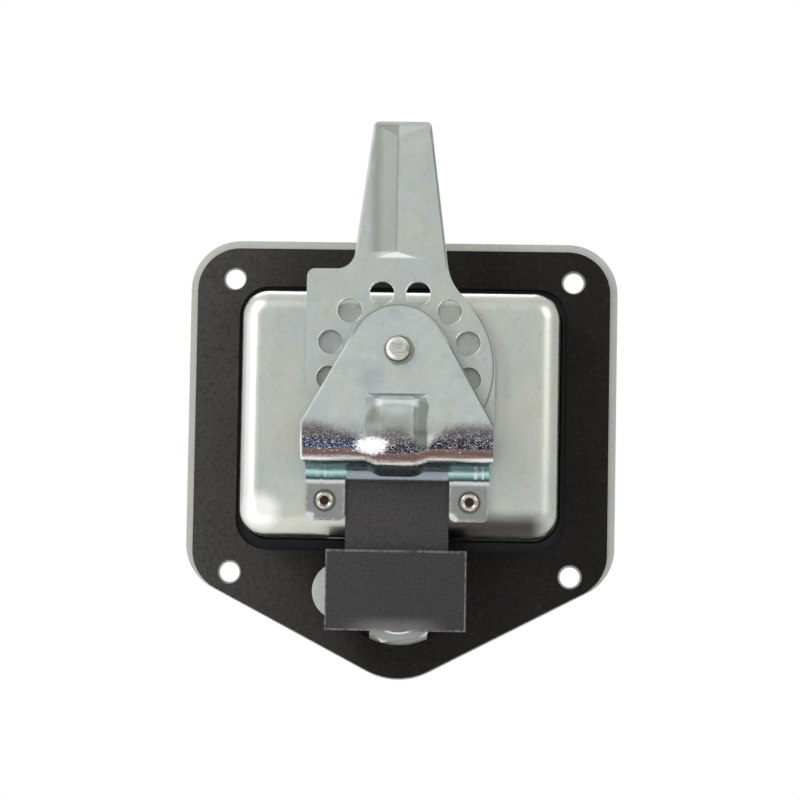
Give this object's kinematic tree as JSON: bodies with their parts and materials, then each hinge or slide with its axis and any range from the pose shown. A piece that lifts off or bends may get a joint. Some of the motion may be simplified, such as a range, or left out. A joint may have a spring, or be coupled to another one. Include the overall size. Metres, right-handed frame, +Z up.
{
  "type": "recessed t-handle latch",
  "caption": "Recessed folding T-handle latch: dished flange with a V below, sealing gasket, turning lever with rod holes behind, bracket over it, and a key lock whose cam traps the handle.",
  "frame": {"origin": "centre of the rectangle of four mounting holes, in the flange's rear face (where gasket and flange meet)", "axes": "+Y out of the rear, away from the user; +Z up with the latch lever at rest, the V below; +X to the left when seen from the rear"},
  "size_m": [0.12, 0.043, 0.153],
  "materials": {
    "pan_zinc": "zinc plated pressed steel, matt, pale blue passivate",
    "lever_zinc": "zinc plated steel plate, fine grain, light wear",
    "bracket_zinc": "zinc plated steel, bright where it is bent",
    "rivet_nickel": "bright plated steel",
    "spindle_steel": "bright plated turned steel",
    "hardware_zinc": "zinc plated, satin",
    "handle_zinc": "zinc plated casting, satin",
    "lock_chrome": "bright chrome plate",
    "lock_brass": "plain brass",
    "gasket_foam": "closed cell black foam, matt",
    "cover_foam": "open cell dark grey foam, matt",
    "seal_rubber": "black rubber",
    "bush_plastic": "black acetal"
  },
  "bodies": {
    "housing": {"dish_pan": "pan_zinc", "flange_gasket": "gasket_foam", "lever_bracket": "bracket_zinc", "bracket_rivets": "rivet_nickel", "spindle_bush": "bush_plastic", "cover_strip": "cover_foam", "lock_cover": "cover_foam", "lock_barrel": "lock_chrome", "lock_seal": "seal_rubber", "lock_washer": "hardware_zinc", "lock_nut": "hardware_zinc"},
    "spindle_body": {"spindle": "spindle_steel", "lever_washer": "hardware_zinc", "latch_lever": "lever_zinc", "spindle_clip": "hardware_zinc", "hinge_pin": "spindle_steel", "hinge_washers": "bush_plastic"},
    "handle": {"t_handle": "handle_zinc"},
    "lock_core": {"lock_plug": "lock_chrome", "lock_wafers": "lock_brass", "lock_cam": "lever_zinc", "cam_washer": "hardware_zinc", "cam_screw": "hardware_zinc"}
  },
  "joints": [
    {"name": "spindle_turn", "type": "hinge", "parent": "housing", "child": "spindle_body", "pos_m": [0, 0.02, 0.019], "axis": [0, 1, 0], "range_deg": [0, 90]},
    {"name": "handle_fold", "type": "hinge", "parent": "spindle_body", "child": "handle", "pos_m": [0, 0.0136, 0.019], "axis": [-1, 0, 0], "range_deg": [0, 90]},
    {"name": "lock_turn", "type": "hinge", "parent": "housing", "child": "lock_core", "pos_m": [0, 0, -0.0485], "axis": [0, -1, 0], "range_deg": [-8, 82]}
  ],
  "couplings": [
    {"joint": "handle_fold", "follows": "spindle_turn", "ratio": 1}
  ]
}
